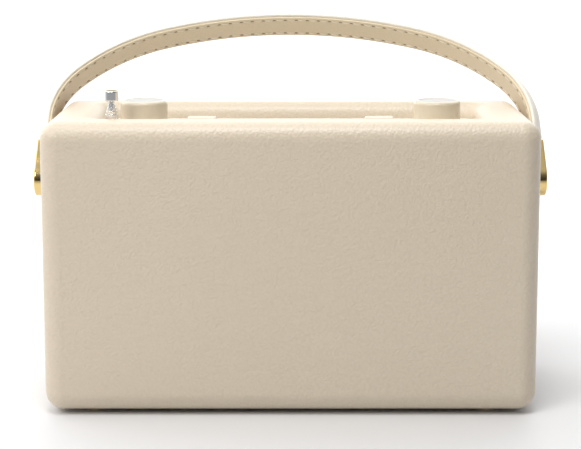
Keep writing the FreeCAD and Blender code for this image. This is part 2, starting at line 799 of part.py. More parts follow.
def battery_contacts():
    """Sprung plates on the two long walls of the bay, one pair for each cell."""
    contacts = []
    cells = 4
    pitch = bay_length / cells
    for cell in range(cells):
        x = (cell - (cells - 1) / 2) * pitch
        z = body_base + bay_height / 2 + 2.0
        for side in (-1, 1):
            wall_y = side * bay_width / 2
            low, high = sorted((wall_y, wall_y - side * 0.5))
            tab = block(span(x, 12.0), (low, high), span(z, 14.0))
            low, high = sorted((wall_y - side * 0.5, wall_y - side * 2.5))
            contacts.append(join(tab, rod("y", 3.0 if side > 0 else 5.0, low, high, (x, z))))
    return contacts


# ---- boards inside -----------------------------------------------------------------------------
def rear_board():
    slab = block(span(0, 140.0), (rear_board_y, rear_board_y + board), (60.0, 140.0))
    hole = screw_radius + 0.1
    tools = [rod("y", hole, rear_board_y - 1, rear_board_y + 3, centre) for centre in REAR_POSTS]
    return cut_all(slab, tools)


def rear_board_posts():
    return [
        ring("y", 3.2, screw_radius, -inner_y, rear_board_y, centre)
        for centre in REAR_POSTS
    ]


def rear_board_screws():
    screws = []
    face = rear_board_y + board
    for centre in REAR_POSTS:
        head = rod("y", screw_head_radius, face, face + screw_head, centre)
        screws.append(join(head, rod("y", screw_radius, -inner_y - 6.0, face, centre)))
    return screws


def board_components():
    """The larger parts on the rear board: transformer, heat sink, capacitors, tuner can and connectors."""
    face = rear_board_y + board
    parts = [
        block(span(-44.0, 30.0), (face, face + 18.0), span(84.0, 26.0)),
        block(span(30.0, 34.0), (face, face + 7.0), span(120.0, 22.0)),
        block(span(0.0, 16.0), (face, face + 2.0), span(104.0, 16.0)),
        block(span(-10.0, 22.0), (face, face + 6.0), span(66.5, 7.0)),
    ]
    for x in (-16.0, -2.0, 12.0):
        parts.append(rod("y", 5.0, face, face + 14.0, (x, 84.0)))
    sink = block(span(42.0, 36.0), (face, face + 3.0), span(84.0, 22.0))
    fin_range = (face + 3.0, face + 13.0)
    fins = [block(span(26.0 + 4.0 * fin, 1.4), fin_range, span(84.0, 22.0)) for fin in range(9)]
    parts.append(join(sink, *fins))
    return parts


# ---- sockets -----------------------------------------------------------------------------------
def socket_plate():
    face = plate("x", socket_plate_size[:2], plate_inner, body_width / 2, 2.8, (0, socket_z))
    low, high = plate_inner - 1, body_width / 2 + 1
    tools = [
        rod("x", 3.0, low, high, (jack_y, socket_z)),
        rod("x", inlet_radius + 0.6, low, high, (inlet_y, socket_z)),
    ]
    return cut_all(face, tools)


def headphone_socket():
    housing = block((plate_inner - 12.0, plate_inner), span(jack_y, 8.0), span(socket_z, 8.0))
    socket = join(housing, rod("x", 3.0, plate_inner, body_width / 2, (jack_y, socket_z)))
    mouth = body_width / 2
    return socket.cut(rod("x", jack_radius, mouth - jack_length, mouth + 1, (jack_y, socket_z)))


def power_inlet():
    housing = block((plate_inner - 13.0, plate_inner), span(inlet_y, 9.0), span(socket_z, 11.0))
    return housing.cut(rod("x", inlet_radius, plate_inner - 11.0, plate_inner + 1, (inlet_y, socket_z)))


def inlet_pin():
    return rod("x", 1.0, plate_inner - 11.0, plate_inner - 1.0, (inlet_y, socket_z))


# ---- build every node --------------------------------------------------------------------------
def both_sides(piece):
    return [mirrored(piece), piece]


def build():
    save("cabinet_shell", [cabinet_shell()])
    save("leather_cover", [leather_cover()])
    save("front_baffle", [front_baffle()])
    save("grille_cloth", [grille_plate(0.3, inner_y, inner_y + cloth)])
    save("speaker_grille", [speaker_grille()])
    save("grille_trim", [grille_trim()])
    for side, name in ((-1, "left"), (1, "right")):
        x = side * speaker_x
        save("speaker_frame_" + name, [speaker_frame(x)])
        save("speaker_cone_" + name, [speaker_cone(x)])
        save("speaker_magnet_" + name, [speaker_magnet(x)])
    save("speaker_screws", speaker_screws())

    save("top_panel", [top_panel()])
    screws = common_screws(PANEL_SCREWS, panel_base, 1)
    screws += common_screws(BOARD_POSTS, control_board_z, 1)
    screws += common_screws(CASE_SCREWS, floor_z + case_flange, -1)
    save("cabinet_screws", screws)
    save("display_lens", [display_lens()])
    save("display_module", [display_module()])
    save("control_board", [control_board()])
    save("volume_control", [control_body(-knob_x, False)])
    save("tuning_control", [control_body(knob_x, True)])
    save("control_nuts", control_nuts())
    save("key_switches", key_switches())
    for side, name in ((-1, "volume"), (1, "tuning")):
        x = side * knob_x
        save(name + "_knob", [knob(x)])
        save(name + "_knob_cap", [knob_cap(x)])
        save(name + "_shaft", [control_shaft(x)])
    save("key_left", [key(-key_x)])
    save("key_right", [key(key_x)])

    save("antenna_socket", [antenna_socket()])
    save("antenna_post", [antenna_post()])
    for index in range(antenna_tubes):
        save("antenna_tube_" + str(index + 1), [antenna_tube(index)])
    save("antenna_rod", [antenna_rod()])
    save("antenna_cap", [antenna_cap()])

    save("handle_strap", [handle_strap()])
    save("handle_liner", [handle_liner()])
    right = leaned(handle_fitting())
    save("handle_fitting_right", [right])
    save("handle_fitting_left", [mirrored(right)])
    save("handle_rivets", both_sides(leaned(handle_rivet())))
    save("pivot_plates", both_sides(pivot_disc()))
    save("pivot_pins", both_sides(pivot_pin()))
    save("pivot_screws", both_sides(pivot_screw()))

    save("feet", feet())
    save("battery_case", [battery_case()])
    save("battery_contacts", battery_contacts())
    save("battery_door", [battery_door()])
    save("rear_board", [rear_board()])
    save("rear_board_posts", rear_board_posts())
    save("rear_board_screws", rear_board_screws())
    save("board_components", board_components())
    save("socket_plate", [socket_plate()])
    save("headphone_socket", [headphone_socket()])
    save("power_inlet", [power_inlet()])
    save("inlet_pin", [inlet_pin()])


build()
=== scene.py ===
import bisect
import json
import math

import bmesh
import bpy
from mathutils import Matrix, Vector


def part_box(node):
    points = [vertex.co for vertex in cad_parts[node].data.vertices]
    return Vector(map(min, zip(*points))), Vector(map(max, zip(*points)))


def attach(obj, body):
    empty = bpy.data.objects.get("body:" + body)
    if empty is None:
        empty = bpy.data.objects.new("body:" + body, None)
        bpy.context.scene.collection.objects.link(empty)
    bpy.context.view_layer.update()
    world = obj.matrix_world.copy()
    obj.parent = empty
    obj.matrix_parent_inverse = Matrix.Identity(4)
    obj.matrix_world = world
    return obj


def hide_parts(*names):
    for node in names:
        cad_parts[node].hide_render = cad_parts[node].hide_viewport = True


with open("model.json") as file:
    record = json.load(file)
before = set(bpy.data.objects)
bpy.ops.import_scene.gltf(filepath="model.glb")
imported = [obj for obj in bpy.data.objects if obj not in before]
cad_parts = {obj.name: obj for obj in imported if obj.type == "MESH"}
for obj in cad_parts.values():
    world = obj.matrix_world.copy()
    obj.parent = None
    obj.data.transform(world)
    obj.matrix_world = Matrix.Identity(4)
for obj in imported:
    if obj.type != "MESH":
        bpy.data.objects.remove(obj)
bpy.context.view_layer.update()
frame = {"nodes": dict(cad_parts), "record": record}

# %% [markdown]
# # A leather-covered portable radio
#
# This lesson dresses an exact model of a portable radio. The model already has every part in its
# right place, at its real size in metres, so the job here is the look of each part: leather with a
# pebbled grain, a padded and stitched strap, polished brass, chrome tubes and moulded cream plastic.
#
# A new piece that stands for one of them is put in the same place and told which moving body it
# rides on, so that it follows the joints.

scene = bpy.context.scene
nodes = frame["nodes"]
MM = 0.001

# %% [markdown]
# ## A camera at a slight height
#
# A product picture of a box like this is taken with a long lens from a little above, so that the
# near edge hides most of the recess in the top. A long lens keeps the box's sides almost parallel.
# The lens is shifted a little as well: a shift moves the picture up or down on the sensor without
# tilting the camera further, which keeps upright edges upright.

# %% Camera
CAMERA_DISTANCE = 0.9768      # metres in front of the cabinet's middle
CAMERA_HEIGHT = 0.2936
CAMERA_PITCH = math.radians(9.0)
LENS = 100.22                 # millimetres, for the sensor's width below
SENSOR_WIDTH = 36.0
LENS_SHIFT = -0.099
NEAREST = 0.05                # nothing closer than this is drawn

camera_data = bpy.data.cameras.new("product_camera")
camera_data.lens = LENS
camera_data.sensor_width = SENSOR_WIDTH
camera_data.shift_y = LENS_SHIFT
camera_data.clip_start = NEAREST
camera = bpy.data.objects.new("product_camera", camera_data)
camera.location = (0.0, -CAMERA_DISTANCE, CAMERA_HEIGHT)
camera.rotation_euler = (math.pi / 2 - CAMERA_PITCH, 0.0, 0.0)
scene.collection.objects.link(camera)
scene.camera = camera
scene.view_settings.view_transform = "Standard"
print("lens", LENS, "mm, pitched down", round(math.degrees(CAMERA_PITCH), 1), "degrees")

# %% [markdown]
# ## Two lamps
#
# A product studio lights a box with large soft lamps. The one overhead lights the top and its
# rounded edges. The one on the left gives the upright face its fall-off from left to right. The
# overhead lamp is kept near the middle, because a lamp far to one side would be mirrored in the
# brass fitting there and turn it white.

# %% Lamps
RADIO_MIDDLE = (0.0, 0.0, 0.12)


def area_lamp(name, location, size, power, colour):
    """A square lamp at a location, turned to face the middle of the radio."""
    data = bpy.data.lights.new(name, "AREA")
    data.shape = "SQUARE"
    data.size = size
    data.energy = power
    data.color = colour
    lamp = bpy.data.objects.new(name, data)
    lamp.location = location
    towards = Vector(RADIO_MIDDLE) - Vector(location)
    lamp.rotation_euler = towards.to_track_quat("-Z", "Y").to_euler()
    scene.collection.objects.link(lamp)
    print(name, "lamp:", power, "W,", round(towards.length, 2), "m away")


area_lamp("overhead", (-0.04, -0.45, 1.3), 0.42, 7.2, (1.0, 1.0, 0.99))
area_lamp("window", (-0.75, -0.75, 0.95), 0.6, 6.6, (1.0, 0.99, 0.97))

# %% [markdown]
# ## A studio that is not even
#
# If the room were equally bright on all sides the box would look flat, so the light has a
# direction: the room is brightest behind and above the radio, a little to its left, and dark on the
# camera's side. The dark side matters for the metal. Brass and chrome are mirrors, and without
# something dark to reflect they look like plaster.
#
# One dot product makes such a room. It measures how far each direction leans towards the bright
# corner of the studio, and a ramp turns that into brightness. A picture of a real room would do the
# same, but a formula has no seams and can be changed one number at a time.

# %% Studio
BRIGHT_CORNER = (-0.28, 0.78, 0.45)
# how far a direction leans to the bright corner, from -1 to 1, and how bright the room is there
ROOM = [(-0.7, 0.05), (-0.35, 0.14), (0.0, 0.40), (0.45, 0.60), (0.75, 1.9)]

world = bpy.data.worlds.new("studio")
world.use_nodes = True
scene.world = world
world_nodes = world.node_tree.nodes
links = world.node_tree.links
background = world_nodes["Background"]
background.inputs["Color"].default_value = (1.0, 1.0, 1.0, 1.0)

direction = world_nodes.new("ShaderNodeTexCoord").outputs["Generated"]
lean = world_nodes.new("ShaderNodeVectorMath")
lean.operation = "DOT_PRODUCT"
lean.inputs[1].default_value = BRIGHT_CORNER
links.new(direction, lean.inputs[0])
level = world_nodes.new("ShaderNodeMapRange")
level.inputs["From Min"].default_value = -1.0
links.new(lean.outputs["Value"], level.inputs["Value"])
print("the room is brightest towards", BRIGHT_CORNER)

# %% [markdown]
# A colour ramp holds values from 0 to 1 only, and the studio is brighter than that. So the ramp
# holds shares of the brightest value, and a multiplication after it brings the brightness back.

# %% Brightness of the studio
peak = max(brightness for _, brightness in ROOM)
room_ramp = world_nodes.new("ShaderNodeValToRGB")
stops = room_ramp.color_ramp.elements
while len(stops) < len(ROOM):
    stops.new(0.5)
for stop, (towards, brightness) in zip(stops, ROOM):
    share = brightness / peak
    stop.position = (towards + 1.0) / 2.0
    stop.color = (share, share, share, 1.0)
links.new(level.outputs["Result"], room_ramp.inputs["Fac"])

brighter = world_nodes.new("ShaderNodeMath")
brighter.operation = "MULTIPLY"
brighter.inputs[1].default_value = peak
links.new(room_ramp.outputs["Color"], brighter.inputs[0])
links.new(brighter.outputs["Value"], background.inputs["Strength"])
print("studio brightness from", ROOM[0][1], "to", peak)

# %% [markdown]
# ## A table that runs out of sight
#
# The radio stands on a white table.

# %% Table
TABLE_WIDTH = 30.0

bpy.ops.mesh.primitive_plane_add(size=TABLE_WIDTH, location=(0.0, 0.0, 0.0))
floor = bpy.context.object
floor.name = "studio_floor"
print("table", TABLE_WIDTH, "m wide")

# %% [markdown]
# ## Building materials from nodes
#
# A material here is a small network of nodes: a texture in metres feeds a colour ramp and a bump,
# and both feed the surface shader. Object coordinates are used throughout, because the parts lie at
# their real size with their origin at the table, so a texture scale of 1 divided by the grain's size
# in metres gives a grain of exactly that size on every part.
#
# Node networks are long to write out, so a small class keeps the material, its shader and the relief
# made so far, and makes a node with its inputs and links in one call.

# %% A material under construction
class Recipe:
    """One material: its nodes, its shader and the layers of relief laid on it so far."""

    def __init__(self, name, roughness=0.5, metallic=0.0):
        self.material = bpy.data.materials.new(name)
        self.material.use_nodes = True
        self.tree = self.material.node_tree
        self.shader = self.tree.nodes["Principled BSDF"]
        self.shader.inputs["Roughness"].default_value = roughness
        self.shader.inputs["Metallic"].default_value = metallic
        self.place = self.tree.nodes.new("ShaderNodeTexCoord").outputs["Object"]
        self.relief = None

    def node(self, kind, inputs, **settings):
        """A node whose inputs are either plain values or the outputs of other nodes."""
        made = self.tree.nodes.new(kind)
        for key, value in settings.items():
            setattr(made, key, value)
        for key, value in inputs.items():
            if hasattr(value, "is_output"):
                self.tree.links.new(value, made.inputs[key])
            else:
                made.inputs[key].default_value = value
        return made

    def feed(self, name, value):
        """Links a texture to one of the shader's own inputs."""
        self.tree.links.new(value, self.shader.inputs[name])

    def bump(self, height, distance, strength):
        """Adds one layer of relief, distance metres deep, on top of the layers before it."""
        inputs = {"Height": height, "Distance": distance, "Strength": strength}
        if self.relief is not None:
            inputs["Normal"] = self.relief
        self.relief = self.node("ShaderNodeBump", inputs).outputs["Normal"]
        self.feed("Normal", self.relief)


print("a material is a recipe of nodes, and its relief is laid on in layers")

# %% [markdown]
# ## Textures and colours
#
# Nearly every finish in this radio comes from one kind of texture, a cloudy noise. Its size decides
# what it looks like: half a millimetre reads as moulding, a few millimetres as handling marks, and
# several centimetres as patches in the hide. Stretched along one way, it becomes brushed metal or
# the grain of wood.

# %% Textures
def noise(recipe, size, detail=2.0, vector=None):
    """Cloudy texture whose blotches are about size metres across."""
    inputs = {"Vector": vector or recipe.place, "Scale": 1.0 / size, "Detail": detail}
    return recipe.node("ShaderNodeTexNoise", inputs).outputs["Fac"]


def stretched(recipe, scale, rotation=(0.0, 0.0, 0.0)):
    """Coordinates stretched by scale after a turn, for grain that runs one way."""
    inputs = {"Vector": recipe.place, "Rotation": rotation, "Scale": scale}
    return recipe.node("ShaderNodeMapping", inputs).outputs["Vector"]


print("a noise of 0.5 mm has a scale of", round(1.0 / (0.5 * MM)))

# %% Colours along a texture
def grey(value):
    return (value, value, value)


def ramp(recipe, value, colours):
    """Colours along a value from 0 to 1, given as pairs of a position and a colour."""
    made = recipe.node("ShaderNodeValToRGB", {"Fac": value})
    elements = made.color_ramp.elements
    while len(elements) < len(colours):
        elements.new(0.5)
    for element, (position, colour) in zip(elements, colours):
        element.position = position
        element.color = (*colour, 1.0)
    return made.outputs["Color"]


def wear(recipe, base, spread, size):
    """A base colour that drifts a little lighter and darker over patches of a given size."""
    low = tuple(channel * (1.0 - spread) for channel in base)
    high = tuple(min(1.0, channel * (1.0 + spread)) for channel in base)
    return ramp(recipe, noise(recipe, size, 3.0), [(0.3, low), (0.7, high)])


print("middle grey:", grey(0.5))

# %% [markdown]
# The mix node has a separate set of sockets for each kind of value it can mix, and they share their
# names. So the ones for colours are told apart by their numbers, which are named here once.

# %% Mixing two colours
MIX_FACTOR, MIX_FIRST, MIX_SECOND = 0, 6, 7
MIX_RESULT = 2


def mix(recipe, factor, first, second):
    """Blends from a first colour to a second one as the factor goes from 0 to 1."""
    inputs = {MIX_FACTOR: factor, MIX_FIRST: first, MIX_SECOND: second}
    return recipe.node("ShaderNodeMix", inputs, data_type="RGBA").outputs[MIX_RESULT]


print("a blend starts at input", MIX_FIRST, "and ends at input", MIX_SECOND)

# %% Giving a material to exact parts
def dress(names, recipe):
    """Gives a material to exact parts by name."""
    for name in names:
        mesh = nodes[name].data
        mesh.materials.clear()
        mesh.materials.append(recipe.material)
        for polygon in mesh.polygons:
            polygon.material_index = 0
    print(recipe.material.name, "on", ", ".join(names))


print(len(nodes), "parts are waiting for a material")

# %% [markdown]
# ## Pebbled leather
#
# The cabinet is a wooden box with a hide glued over it. Embossed leather is covered in small rounded
# pebbles with fine creases between them. A Voronoi texture gives the distance to the nearest cell's
# centre: smallest in the middle of each pebble and largest in the creases. A ramp turns it over, so
# that the pebbles stand up. The lookup point is first pushed about by a soft noise, so that the
# pebbles are uneven like skin and not like tiles.
#
# Modelled pebbles would need millions of faces, and at this size they would look no different. Two
# more layers go with them: fine pores, and long shallow wrinkles that run slantwise where the hide
# was pulled over the box. Last, the colour drifts a little over patches as wide as a hand.

# %% Pebbles and wrinkles
def pebble_texture(recipe, grain):
    """1 on top of each pebble and 0 in the creases between them."""
    inputs = {"Vector": recipe.place, "Scale": 0.5 / grain, "Detail": 2.0}
    drift = recipe.node("ShaderNodeTexNoise", inputs).outputs["Color"]
    push = (grain * 1.4,) * 3
    inputs = {0: drift, 1: push, 2: recipe.place}     # the drift times the push, plus the place
    pushed = recipe.node("ShaderNodeVectorMath", inputs, operation="MULTIPLY_ADD").outputs["Vector"]
    inputs = {"Vector": pushed, "Scale": 1.0 / grain, "Smoothness": 0.35}
    cells = recipe.node("ShaderNodeTexVoronoi", inputs, feature="SMOOTH_F1").outputs["Distance"]
    return ramp(recipe, cells, [(0.1, grey(1.0)), (0.45, grey(0.6)), (0.8, grey(0.0))])


def wrinkle_texture(recipe):
    """Long shallow wrinkles about a centimetre apart, running slantwise."""
    slant = stretched(recipe, (1.0, 1.0, 2.2), (0.0, math.radians(38.0), 0.0))
    return noise(recipe, 0.011, 3.0, slant)


print("pebbles stand at full height where their cells' distance is below 0.1")

# %% Leather
PATCH_SIZE = 0.09             # metres, over which the hide's colour drifts
PAINTED_CREASE_SHADE = 0.97           # painted shade: how dark the creases between pebbles are coloured against the hide


def leather(name, light, dark, grain, depth, roughness, coat=0.0):
    """Leather with pebbles of a given size and depth, under a thin clear finish if it has a coat."""
    recipe = Recipe(name, roughness)
    recipe.shader.inputs["Coat Weight"].default_value = coat
    recipe.shader.inputs["Coat Roughness"].default_value = 0.3
    pebbles = pebble_texture(recipe, grain)
    pores = noise(recipe, grain * 0.25, 3.0)
    wrinkles = wrinkle_texture(recipe)
    patches = ramp(recipe, noise(recipe, PATCH_SIZE), [(0.3, dark), (0.7, light)])
    # painted shade: the creases between the pebbles are coloured a little darker than the hide
    crease_painted_shade = (*(channel * PAINTED_CREASE_SHADE for channel in dark), 1.0)
    recipe.feed("Base Color", mix(recipe, pebbles, crease_painted_shade, patches))
    shine = [(0.3, grey(roughness - 0.06)), (0.7, grey(roughness + 0.08))]
    recipe.feed("Roughness", ramp(recipe, pores, shine))
    recipe.bump(wrinkles, depth * 2.0, 0.5)
    recipe.bump(pebbles, depth, 0.9)
    recipe.bump(pores, depth * 0.3, 0.5)
    return recipe


COVER_GRAIN = 0.0016
COVER_DEPTH = 0.00019
cover_leather = leather(
    "cover_leather", (0.735, 0.634, 0.500), (0.715, 0.614, 0.480), COVER_GRAIN, COVER_DEPTH, 0.42, 0.3
)
dress(["leather_cover"], cover_leather)
print("pebbles of", COVER_GRAIN / MM, "mm, relief", COVER_DEPTH / MM, "mm deep")

# %% [markdown]
# ## The line of the carrying strap
#
# The strap is a padded tube of leather sewn shut against a flat lining. Its bow is made of three
# arcs on each side that meet without a kink, like the wooden former it is shaped on: a wide arc over
# the top, a tighter shoulder, and a small corner that turns down into the leg.
#
# A free curve drawn by hand would do as well, but arcs are how such a former is cut, and the exact
# strap is made of the same ones, so the dressed strap follows it closely. Everything is drawn with
# the handle upright, in millimetres from its pivot, and leaned back at the end.

# %% Sizes of the bow
joints = {joint["name"]: joint for joint in frame["record"]["behaviour"]["joints"]}
PIVOT = Vector(joints["handle_swing"]["pos_m"])
LEAN = math.radians(45.5)
STRAP_X = 148.6                     # the lining of the upright leg, from the middle
ARCS = [(280.14, 0.0, 0.292), (121.8, 0.292, 0.801)]    # radius, and start and end in radians
LEG_FOOT = 25.0                     # where the leg leaves its brass fitting
STITCH_PITCH = 7.2
LINER_HALF = 8.5
LINER_THICK = 1.5

liner_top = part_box("handle_liner")[1].z
apex = ((liner_top - PIVOT.z) / MM - LINER_HALF * math.sin(LEAN)) / math.cos(LEAN) - LINER_THICK
print("the bow's top is", round(apex, 1), "mm above the pivot")

# %% [markdown]
# Two of the arcs have a radius of their own. The third has to bring the line upright exactly where
# the leg stands, and only one radius does that, so it is worked out and not chosen.

# %% The line of the bow
def all_arcs():
    """The arcs of one side, with the corner whose radius brings the line upright at STRAP_X."""
    reach = sum(radius * (math.sin(end) - math.sin(start)) for radius, start, end in ARCS)
    last = ARCS[-1][2]
    return ARCS + [((STRAP_X - reach) / (1.0 - math.sin(last)), last, math.pi / 2)]


def bow_line(step):
    """Stations from the left leg to the right: distance along, place (x, z) and outward way."""
    half = []
    travelled = 0.0
    x, z = 0.0, apex
    for radius, start, end in all_arcs():
        centre_x, centre_z = x - radius * math.sin(start), z - radius * math.cos(start)
        count = max(2, int(radius * (end - start) / step))
        for i in range(count):
            angle = start + (end - start) * i / count
            place = (centre_x + radius * math.sin(angle), centre_z + radius * math.cos(angle))
            half.append((travelled + radius * (angle - start), place, angle))
        travelled += radius * (end - start)
        x = centre_x + radius * math.sin(end)
        z = centre_z + radius * math.cos(end)
    count = int((z - LEG_FOOT) / step)
    for i in range(count + 1):
        drop = (z - LEG_FOOT) * i / count
        half.append((travelled + drop, (x, z - drop), math.pi / 2))
    left = [(-along, (-place[0], place[1]), -angle) for along, place, angle in reversed(half[1:])]
    return left + half


print("corner radius", round(all_arcs()[-1][0], 1), "mm")
print("strap length", round(2 * bow_line(1.5)[-1][0], 1), "mm")

# %% [markdown]
# ## Carrying a section along the line
#
# The strap, its lining and each stitch are all the same kind of shape: a ring of points carried along
# a line, with faces between each ring and the next. A curve object with a bevel could sweep one
# section too, but here the section changes along the way, because the thread pulls it in.

# %% From the drawing to the radio
def lean_back(x, y, z):
    """From the handle's own upright drawing, in mm, to its place on the radio, in metres."""
    point = Vector((x, y, z)) * MM
    return Matrix.Rotation(-LEAN, 3, "X") @ point + PIVOT


def on_bow(station, y, out):
    """A point at a station: y across the strap, out from the lining's inner face."""
    _, (x, z), angle = station
    return lean_back(x + out * math.sin(angle), y, z + out * math.cos(angle))


print("a point on the pivot stays at", [round(value, 4) for value in lean_back(0.0, 0.0, 0.0)])

# %% Skins over rings
def skin(built, rings):
    """Faces between each ring of points and the next, and one at each end."""
    for first, second in zip(rings, rings[1:]):
        for i in range(len(first)):
            j = (i + 1) % len(first)
            built.faces.new((first[i], first[j], second[j], second[i]))
    built.faces.new(rings[0])
    built.faces.new(list(reversed(rings[-1])))


def finished(name, built):
    """Turns a mesh under construction into a smooth piece in the scene."""
    bmesh.ops.recalc_face_normals(built, faces=built.faces)
    mesh = bpy.data.meshes.new(name)
    built.to_mesh(mesh)
    built.free()
    for polygon in mesh.polygons:
        polygon.use_smooth = True
    piece = bpy.data.objects.new(name, mesh)
    scene.collection.objects.link(piece)
    print(name + ":", len(mesh.vertices), "points,", len(mesh.polygons), "faces")
    return piece


def swept(name, section, stations):
    """A closed piece from a section, a function of the distance, carried along the stations."""
    built = bmesh.new()
    rings = []
    for station in stations:
        rings.append([built.verts.new(on_bow(station, y, out)) for y, out in section(station[0])])
    skin(built, rings)
    return finished(name, built)


print("the bow has", len(bow_line(0.9)), "stations at 0.9 mm")

# %% [markdown]
# ## The padded outer leather
#
# On the real strap a strip of soft leather is wrapped over a cord of foam and sewn down along both
# edges. The foam pushes it up into a round top, and the thread nips the edges in once per stitch.
# That slight waviness is what makes it look sewn, so it is in the shape and not only in the shading.
# The section is an arc of a circle on two short upright sides.

# %% Padded outer leather
DOME_HALF = 9.8
DOME_SIDE = 3.0                     # top of the padding's upright sides
DOME_HIGH = 8.2
SLACK = 0.06                        # the dressed strap stays this far inside the exact one
NIP = 0.35                          # how far a stitch pulls the edge in
EDGE_ROUND = 0.45                   # how far the edge turns in where it meets the lining
EDGE_HIGH = 0.7                     # where that turn ends, above the lining
SIDE_ROUND = 0.12
DOME_STEPS = 20


def pull(distance):
    """From 0 between two stitches to 1 at a stitch."""
    return 0.5 + 0.5 * math.cos(2.0 * math.pi * distance / STITCH_PITCH)


def dome_section(distance):
    """The strap's padded outside: upright sides, a round top, and edges nipped in at each stitch."""
    rise = DOME_HIGH - DOME_SIDE
    radius = (DOME_HALF ** 2 + rise ** 2) / (2.0 * rise)
    middle = DOME_HIGH - radius
    reach = math.asin(DOME_HALF / radius)
    nip = NIP * pull(distance)
    foot = LINER_THICK + SLACK
    edge = DOME_HALF - EDGE_ROUND - nip
    side = DOME_HALF - SIDE_ROUND - 0.5 * nip
    points = [(-edge, foot), (-side, LINER_THICK + EDGE_HIGH)]
    for i in range(DOME_STEPS + 1):
        angle = -reach + 2.0 * reach * i / DOME_STEPS
        along, up = math.sin(angle), math.cos(angle)
        points.append(((radius - SLACK) * along, middle + (radius - SLACK) * up))
    points += [(side, LINER_THICK + EDGE_HIGH), (edge, foot)]
    points += [(share * DOME_HALF, foot) for share in (0.6, 0.0, -0.6)]
    return points


strap = swept("padded_strap", dome_section, bow_line(0.9))
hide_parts("handle_strap")
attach(strap, "handle")

# %% [markdown]
# ## The stitched lining
#
# The inner side of the strap is a flat band of firmer leather. Two rows of stitches sink into it:
# each row lies in a shallow furrow, and where the thread goes through, the awl has left a pit. Both
# are small bell curves, one across the strap and one along it, and their product is a pit exactly
# where a row and a hole meet. The stations lie close together here, since a pit is only a
# millimetre or two long.

# %% Stitched lining
SEAM_Y = 6.2                        # each row of stitches, from the strap's middle
FURROW_HALF = 0.5
FURROW_DEPTH = 0.15
HOLE_HALF = 1.0
HOLE_DEPTH = 0.7
EDGE_BEVEL = 0.6                    # the lining's edges are rounded over this width
BEVEL_DROP = 0.35
LINER_STEPS = 48
INNER_SLACK = 0.02
OUTER_SLACK = 0.01
LINER_STEP = 0.6                    # between two stations


def furrow_at(y):
    """1 on a row of stitches, falling to 0 about a millimetre beside it."""
    return math.exp(-((abs(y) - SEAM_Y) / FURROW_HALF) ** 2)


def hole_at(distance):
    """1 where the thread goes through the leather between two stitches, 0 elsewhere."""
    from_hole = (distance / STITCH_PITCH) % 1.0 - 0.5
    return math.exp(-(from_hole * STITCH_PITCH / HOLE_HALF) ** 2)


def liner_section(distance):
    """A flat band with a furrow along each row of stitches and a pit at every stitch hole."""
    points = []
    for i in range(LINER_STEPS + 1):
        y = -LINER_HALF + 2.0 * LINER_HALF * i / LINER_STEPS
        edge = max(0.0, abs(y) - (LINER_HALF - EDGE_BEVEL)) / EDGE_BEVEL
        sunk = furrow_at(y) * (FURROW_DEPTH + HOLE_DEPTH * hole_at(distance))
        points.append((y, INNER_SLACK + sunk + BEVEL_DROP * edge ** 2))
    for y in (LINER_HALF, 0.0, -LINER_HALF):
        points.append((y, LINER_THICK - OUTER_SLACK))
    return points


liner = swept("strap_lining", liner_section, bow_line(LINER_STEP))
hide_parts("handle_liner")
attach(liner, "handle")

# %% [markdown]
# ## The thread
#
# Between two holes the thread lies on the leather as a short rounded bar. It is thick, waxed linen
# thread, thinner at both ends where it dives into its hole, and a saddle stitch always lies slightly
# askew. Each stitch is a small sweep of its own along the bow, so it bends with the strap.

# %% One stitch
THREAD_HALF = 2.45                  # half the length that is seen
THREAD_RADIUS = 0.5
THREAD_FLAT = 0.8                   # pressed a little flat into the leather
THREAD_SKEW = 0.25
THREAD_HEIGHT = 0.12                # the thread's middle, out from the lining's inner face
THREAD_DIVE = 0.3                   # how much deeper its ends lie
THREAD_CORNERS = 8
THREAD_STEPS = 8
SMALLEST_END = 0.04                 # keeps the thread's ends from closing to a point


def stitch_ring(built, stations, distances, middle, side, t):
    """One ring of a stitch, with t from -1 at one end to 1 at the other."""
    station = stations[bisect.bisect_left(distances, middle + t * THREAD_HALF)]
    width = THREAD_RADIUS * math.sqrt(max(SMALLEST_END, 1.0 - t ** 4))
    ring = []
    for corner in range(THREAD_CORNERS):
        turn = 2.0 * math.pi * corner / THREAD_CORNERS
        y = side * SEAM_Y + THREAD_SKEW * t + width * math.cos(turn)
        out = THREAD_HEIGHT + THREAD_DIVE * t * t + THREAD_FLAT * width * math.sin(turn)
        ring.append(built.verts.new(on_bow(station, y, out)))
    return ring


print("one stitch has", (THREAD_STEPS + 1) * THREAD_CORNERS, "points")

# %% Two rows of stitches
THREAD_STEP = 0.4                   # between two stations
BARE_END = 4.0                      # the last stitch's middle stays this far from the strap's end


def stitches(name, stations):
    """Two rows of stitches along the lining."""
    built = bmesh.new()
    distances = [station[0] for station in stations]
    count = int((distances[-1] - BARE_END) / STITCH_PITCH)
    for side in (-1, 1):
        for index in range(-count, count + 1):
            middle = index * STITCH_PITCH
            shares = [-1.0 + 2.0 * step / THREAD_STEPS for step in range(THREAD_STEPS + 1)]
            skin(built, [stitch_ring(built, stations, distances, middle, side, t) for t in shares])
    print("stitches:", 2 * (2 * count + 1))
    return finished(name, built)


thread = stitches("strap_thread", bow_line(THREAD_STEP))
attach(thread, "handle")

# %% [markdown]
# ## Leathers of the strap
#
# The padded side is the smoothest leather on the radio: fine pebbles, hardly any relief and a clear
# finish. The lining is plainer and warmer. Its cut edges are sealed with a glossy paint, coloured a
# little lighter as a painted highlight along the lit edge, and inside the stitch holes the colour is
# darkened as a painted shade. The thread is a twisted cord, so its relief is a noise that runs at an
# angle to it.

# %% Leathers and thread of the strap
FINE_GRAIN = 0.0011
CUT_GRAIN = 0.0008

